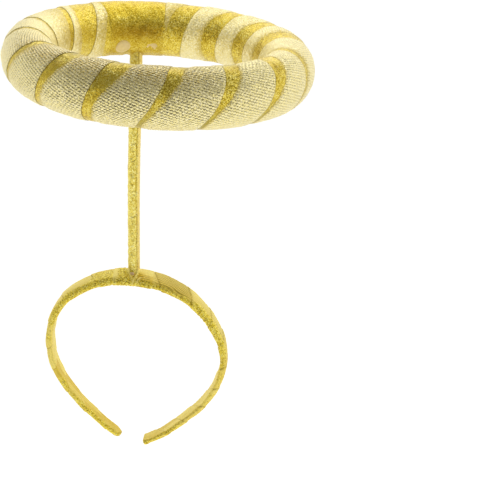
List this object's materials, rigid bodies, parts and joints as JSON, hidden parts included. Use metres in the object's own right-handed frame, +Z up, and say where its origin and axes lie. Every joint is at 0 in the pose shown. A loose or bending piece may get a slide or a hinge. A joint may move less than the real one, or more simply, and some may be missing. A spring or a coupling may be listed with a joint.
{
  "type": "halo headband",
  "caption": "Costume halo headband: a padded ring wound with glitter cloth and pale ribbon, held above the head by a wrapped stem that stands on a ribbon-wound headband.",
  "frame": {"origin": "head seat: the middle of the headband's inner face at the crown, where it sits on the head", "axes": "+Z up along the stem, -Y to the wearer's front where the halo reaches, +X to the left hand of the wearer"},
  "size_m": [0.1943, 0.1944, 0.3387],
  "materials": {
    "band_ribbon": "metallic gold ribbon wound with overlaps, fine ribs and glitter",
    "stem_ribbon": "metallic gold glitter ribbon folded lengthwise round a rod",
    "glitter_cloth": "gold glitter cloth",
    "pale_ribbon": "pale gold metallic ribbon with a fine ribbed weave",
    "hot_glue": "cloudy set glue"
  },
  "bodies": {
    "root": {"headband": "band_ribbon", "foot_wrap": "glitter_cloth", "stem": "stem_ribbon", "halo_ring": "glitter_cloth", "halo_ribbon": "pale_ribbon", "back_wrap": "glitter_cloth", "glue_disc": "hot_glue"}
  },
  "joints": []
}
